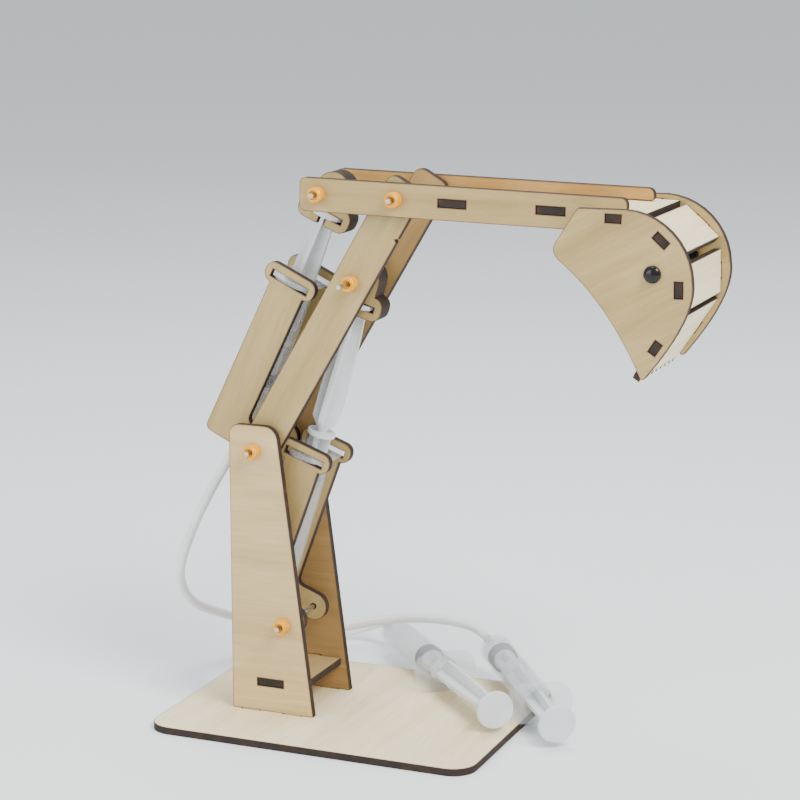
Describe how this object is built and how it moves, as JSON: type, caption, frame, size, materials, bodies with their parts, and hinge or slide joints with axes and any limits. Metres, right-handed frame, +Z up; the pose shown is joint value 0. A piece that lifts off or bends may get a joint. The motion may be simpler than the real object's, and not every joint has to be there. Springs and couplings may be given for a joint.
{
  "type": "hydraulic arm kit",
  "caption": "Desktop digger arm of laser-cut plywood on a base, its boom and stick worked by syringe cylinders and tubes, with a toothed bucket",
  "frame": {"origin": "centre of the base plate's underside", "axes": "+X along the base's front edge towards the bucket, +Y to the back, +Z up"},
  "size_m": [0.2406, 0.1514, 0.2291],
  "materials": {
    "plywood": "bare laser-cut birch plywood, burnt edges",
    "pale_plywood": "bare pale plywood",
    "steel": "bright drawn wire",
    "bushing": "orange moulded plastic",
    "syringe": "translucent polypropylene",
    "rubber": "black rubber",
    "tube": "milky flexible tube",
    "rivet": "glossy black"
  },
  "bodies": {
    "root": {"base_plate": "pale_plywood", "tower_plate_front": "plywood", "tower_plate_rear": "plywood", "tower_shelf": "plywood", "tower_top_shaft": "steel", "tower_top_bushing_front": "bushing", "tower_top_bushing_rear": "bushing", "tower_low_shaft": "steel", "tower_low_bushing_front": "bushing", "tower_low_bushing_rear": "bushing", "master_a_barrel": "syringe", "master_b_barrel": "syringe", "upper_tube": "tube", "lower_tube": "tube"},
    "boom": {"boom_plate_front": "plywood", "boom_plate_rear": "plywood", "boom_middle_shaft": "steel", "boom_middle_bushing_front": "bushing", "boom_middle_bushing_rear": "bushing", "stick_pivot_shaft": "steel", "stick_pivot_bushing_front": "bushing", "stick_pivot_bushing_rear": "bushing"},
    "stick": {"stick_plate_front": "plywood", "stick_plate_rear": "plywood", "stick_spacer_1": "plywood", "stick_spacer_2": "plywood", "stick_tail_shaft": "steel", "stick_tail_bushing_front": "bushing", "stick_tail_bushing_rear": "bushing", "bucket_plate_front": "plywood", "bucket_plate_rear": "plywood", "bucket_slat_1": "pale_plywood", "bucket_slat_2": "pale_plywood", "bucket_slat_3": "pale_plywood", "bucket_slat_4": "pale_plywood", "bucket_rivet_front": "rivet", "bucket_rivet_rear": "rivet"},
    "lower_cradle": {"lower_slave_cradle_plate_front": "plywood", "lower_slave_cradle_plate_rear": "plywood", "lower_slave_barrel": "syringe"},
    "lower_rod": {"lower_slave_plunger": "syringe", "lower_slave_piston": "rubber", "lower_slave_clevis_front": "plywood", "lower_slave_clevis_middle": "plywood", "lower_slave_clevis_rear": "plywood"},
    "upper_cradle": {"upper_slave_cradle_plate_front": "plywood", "upper_slave_cradle_plate_rear": "plywood", "upper_slave_barrel": "syringe"},
    "upper_rod": {"upper_slave_plunger": "syringe", "upper_slave_piston": "rubber", "upper_slave_clevis_front": "plywood", "upper_slave_clevis_middle": "plywood", "upper_slave_clevis_rear": "plywood"},
    "master_a_rod": {"master_a_plunger": "syringe", "master_a_piston": "rubber"},
    "master_b_rod": {"master_b_plunger": "syringe", "master_b_piston": "rubber"}
  },
  "joints": [
    {"name": "boom_pivot", "type": "hinge", "parent": "root", "child": "boom", "pos_m": [-0.0363, 0, 0.1143], "axis": [0, 1, 0], "range_deg": [-2, 40]},
    {"name": "stick_pivot", "type": "hinge", "parent": "boom", "child": "stick", "pos_m": [0.02589, 0, 0.2203], "axis": [0, 1, 0], "range_deg": [-6, 40]},
    {"name": "lower_cradle_swing", "type": "hinge", "parent": "root", "child": "lower_cradle", "pos_m": [-0.0236, 0, 0.0414], "axis": [0, 1, 0], "range_deg": [-1.43, 22.9]},
    {"name": "lower_rod_slide", "type": "slide", "parent": "lower_cradle", "child": "lower_rod", "axis": [0.2968, 0, 0.9549], "range_m": [-0.02585, 0.00158]},
    {"name": "master_b_slide", "type": "slide", "parent": "root", "child": "master_b_rod", "axis": [0.5982, -0.7996, -0.0523], "range_m": [-0.00158, 0.02585]},
    {"name": "upper_cradle_swing", "type": "hinge", "parent": "boom", "child": "upper_cradle", "pos_m": [-0.0363, 0, 0.1143], "axis": [0, 1, 0], "range_deg": [-1.37, 0.46]},
    {"name": "upper_rod_slide", "type": "slide", "parent": "upper_cradle", "child": "upper_rod", "axis": [0.3968, 0, 0.9179], "range_m": [-0.00371, 0.02306]},
    {"name": "master_a_slide", "type": "slide", "parent": "root", "child": "master_a_rod", "axis": [0.6742, -0.7383, 0.0209], "range_m": [-0.02306, 0.00371]}
  ],
  "couplings": [
    {"joint": "lower_cradle_swing", "follows": "boom_pivot", "ratio": 0.565},
    {"joint": "lower_rod_slide", "follows": "boom_pivot", "m_per_rad": -0.0366},
    {"joint": "master_b_slide", "follows": "boom_pivot", "m_per_rad": 0.0366},
    {"joint": "upper_cradle_swing", "follows": "stick_pivot", "ratio": -0.0268},
    {"joint": "upper_rod_slide", "follows": "stick_pivot", "m_per_rad": 0.0326},
    {"joint": "master_a_slide", "follows": "stick_pivot", "m_per_rad": -0.0326}
  ]
}
